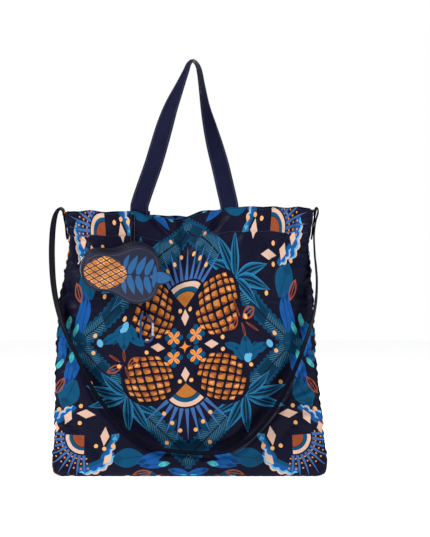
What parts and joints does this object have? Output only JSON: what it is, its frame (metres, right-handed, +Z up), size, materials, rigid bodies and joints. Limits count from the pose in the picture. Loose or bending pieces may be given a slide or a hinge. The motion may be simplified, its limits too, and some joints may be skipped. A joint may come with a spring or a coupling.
{
  "type": "foldable tote bag",
  "caption": "Boxed cloth tote with hanging handles, a long shoulder strap and a tethered zip stowage pouch with a small gate clip.",
  "frame": {"origin": "middle of the base, on the surface that the bag stands on", "axes": "+Z up, +X to the right seen from the front, -Y towards the front, where the pouch hangs"},
  "size_m": [0.4304, 0.1487, 0.6417],
  "materials": {
    "print_cloth": "light woven polyester, satin",
    "facing_cloth": "reverse of the printed cloth, matt",
    "webbing": "woven polyester tape, matt",
    "pouch_leather": "coated imitation leather, fine grain",
    "zip_fabric": "woven zip tape",
    "zip_metal": "polished",
    "clip_paint": "anodised blue",
    "clip_metal": "polished"
  },
  "bodies": {
    "base": {"base_panel": "print_cloth", "left_side_panel": "print_cloth", "right_side_panel": "print_cloth", "left_strap_anchor": "webbing", "right_strap_anchor": "webbing"},
    "front": {"front_panel": "print_cloth", "front_hem_facing": "facing_cloth", "front_left_binding": "webbing", "front_right_binding": "webbing", "front_base_binding": "webbing", "front_left_foot": "webbing", "front_right_foot": "webbing", "tether_anchor": "webbing"},
    "rear": {"back_panel": "print_cloth", "back_hem_facing": "facing_cloth", "back_left_binding": "webbing", "back_right_binding": "webbing", "back_base_binding": "webbing", "back_left_foot": "webbing", "back_right_foot": "webbing"},
    "front_handle": {"front_handle": "webbing"},
    "rear_handle": {"rear_handle": "webbing"},
    "shoulder_strap": {"shoulder_strap": "webbing"},
    "pouch": {"pouch_front": "pouch_leather", "pouch_front_wall": "pouch_leather", "pouch_back_wall": "pouch_leather", "pouch_back": "pouch_leather", "pouch_spine": "pouch_leather", "zip_tape": "zip_fabric", "zip_front_teeth": "zip_metal", "zip_back_teeth": "zip_metal", "zip_top_stop": "zip_metal", "zip_end_stop": "zip_metal", "pouch_pull_tab": "pouch_leather", "pouch_tether": "webbing", "clip_loop": "webbing"},
    "zip_slider": {"zip_slider": "zip_metal"},
    "zip_puller": {"zip_puller": "zip_metal"},
    "clip": {"clip_frame": "clip_paint", "gate_lug": "clip_paint", "gate_pin": "clip_metal"},
    "gate": {"clip_gate": "clip_metal", "gate_spring": "clip_metal"}
  },
  "joints": [
    {"name": "fold_flat", "type": "slide", "parent": "base", "child": "front", "axis": [0, 1, 0], "range_m": [0, 0.03], "deforming": ["left_side_panel", "right_side_panel", "base_panel"]},
    {"name": "rear_fold", "type": "slide", "parent": "base", "child": "rear", "axis": [0, -1, 0], "range_m": [0, 0.03]},
    {"name": "front_handle_swing", "type": "hinge", "parent": "front", "child": "front_handle", "pos_m": [0, -0.0392, 0.4065], "axis": [1, 0, 0], "range_deg": [-20, 130]},
    {"name": "rear_handle_swing", "type": "hinge", "parent": "rear", "child": "rear_handle", "pos_m": [0, 0.04, 0.4065], "axis": [1, 0, 0], "range_deg": [0, 175]},
    {"name": "shoulder_strap_swing", "type": "hinge", "parent": "base", "child": "shoulder_strap", "pos_m": [0, 0, 0.4], "axis": [-1, 0, 0], "range_deg": [0, 300]},
    {"name": "pouch_swing", "type": "hinge", "parent": "front", "child": "pouch", "pos_m": [-0.086, -0.041, 0.389], "axis": [1, 0, 0], "range_deg": [-120, 0]},
    {"name": "zip_run", "type": "hinge", "parent": "pouch", "child": "zip_slider", "pos_m": [-0.1356, -0.062, 0.318], "axis": [0, -1, 0], "range_deg": [0, 112]},
    {"name": "puller_flip", "type": "hinge", "parent": "zip_slider", "child": "zip_puller", "pos_m": [-0.16303, -0.062, 0.33581], "axis": [0, -1, 0], "range_deg": [-180, 0]},
    {"name": "clip_swing", "type": "hinge", "parent": "pouch", "child": "clip", "pos_m": [-0.0671, -0.062, 0.2493], "axis": [1, 0, 0], "range_deg": [-90, 12]},
    {"name": "gate_open", "type": "hinge", "parent": "clip", "child": "gate", "pos_m": [-0.0549, -0.062, 0.2184], "axis": [0, -1, 0], "range_deg": [0, 25], "stiffness_Nm_per_rad": 0.02, "springref_deg": -20.05}
  ],
  "couplings": [
    {"joint": "rear_fold", "follows": "fold_flat", "ratio": 1}
  ]
}
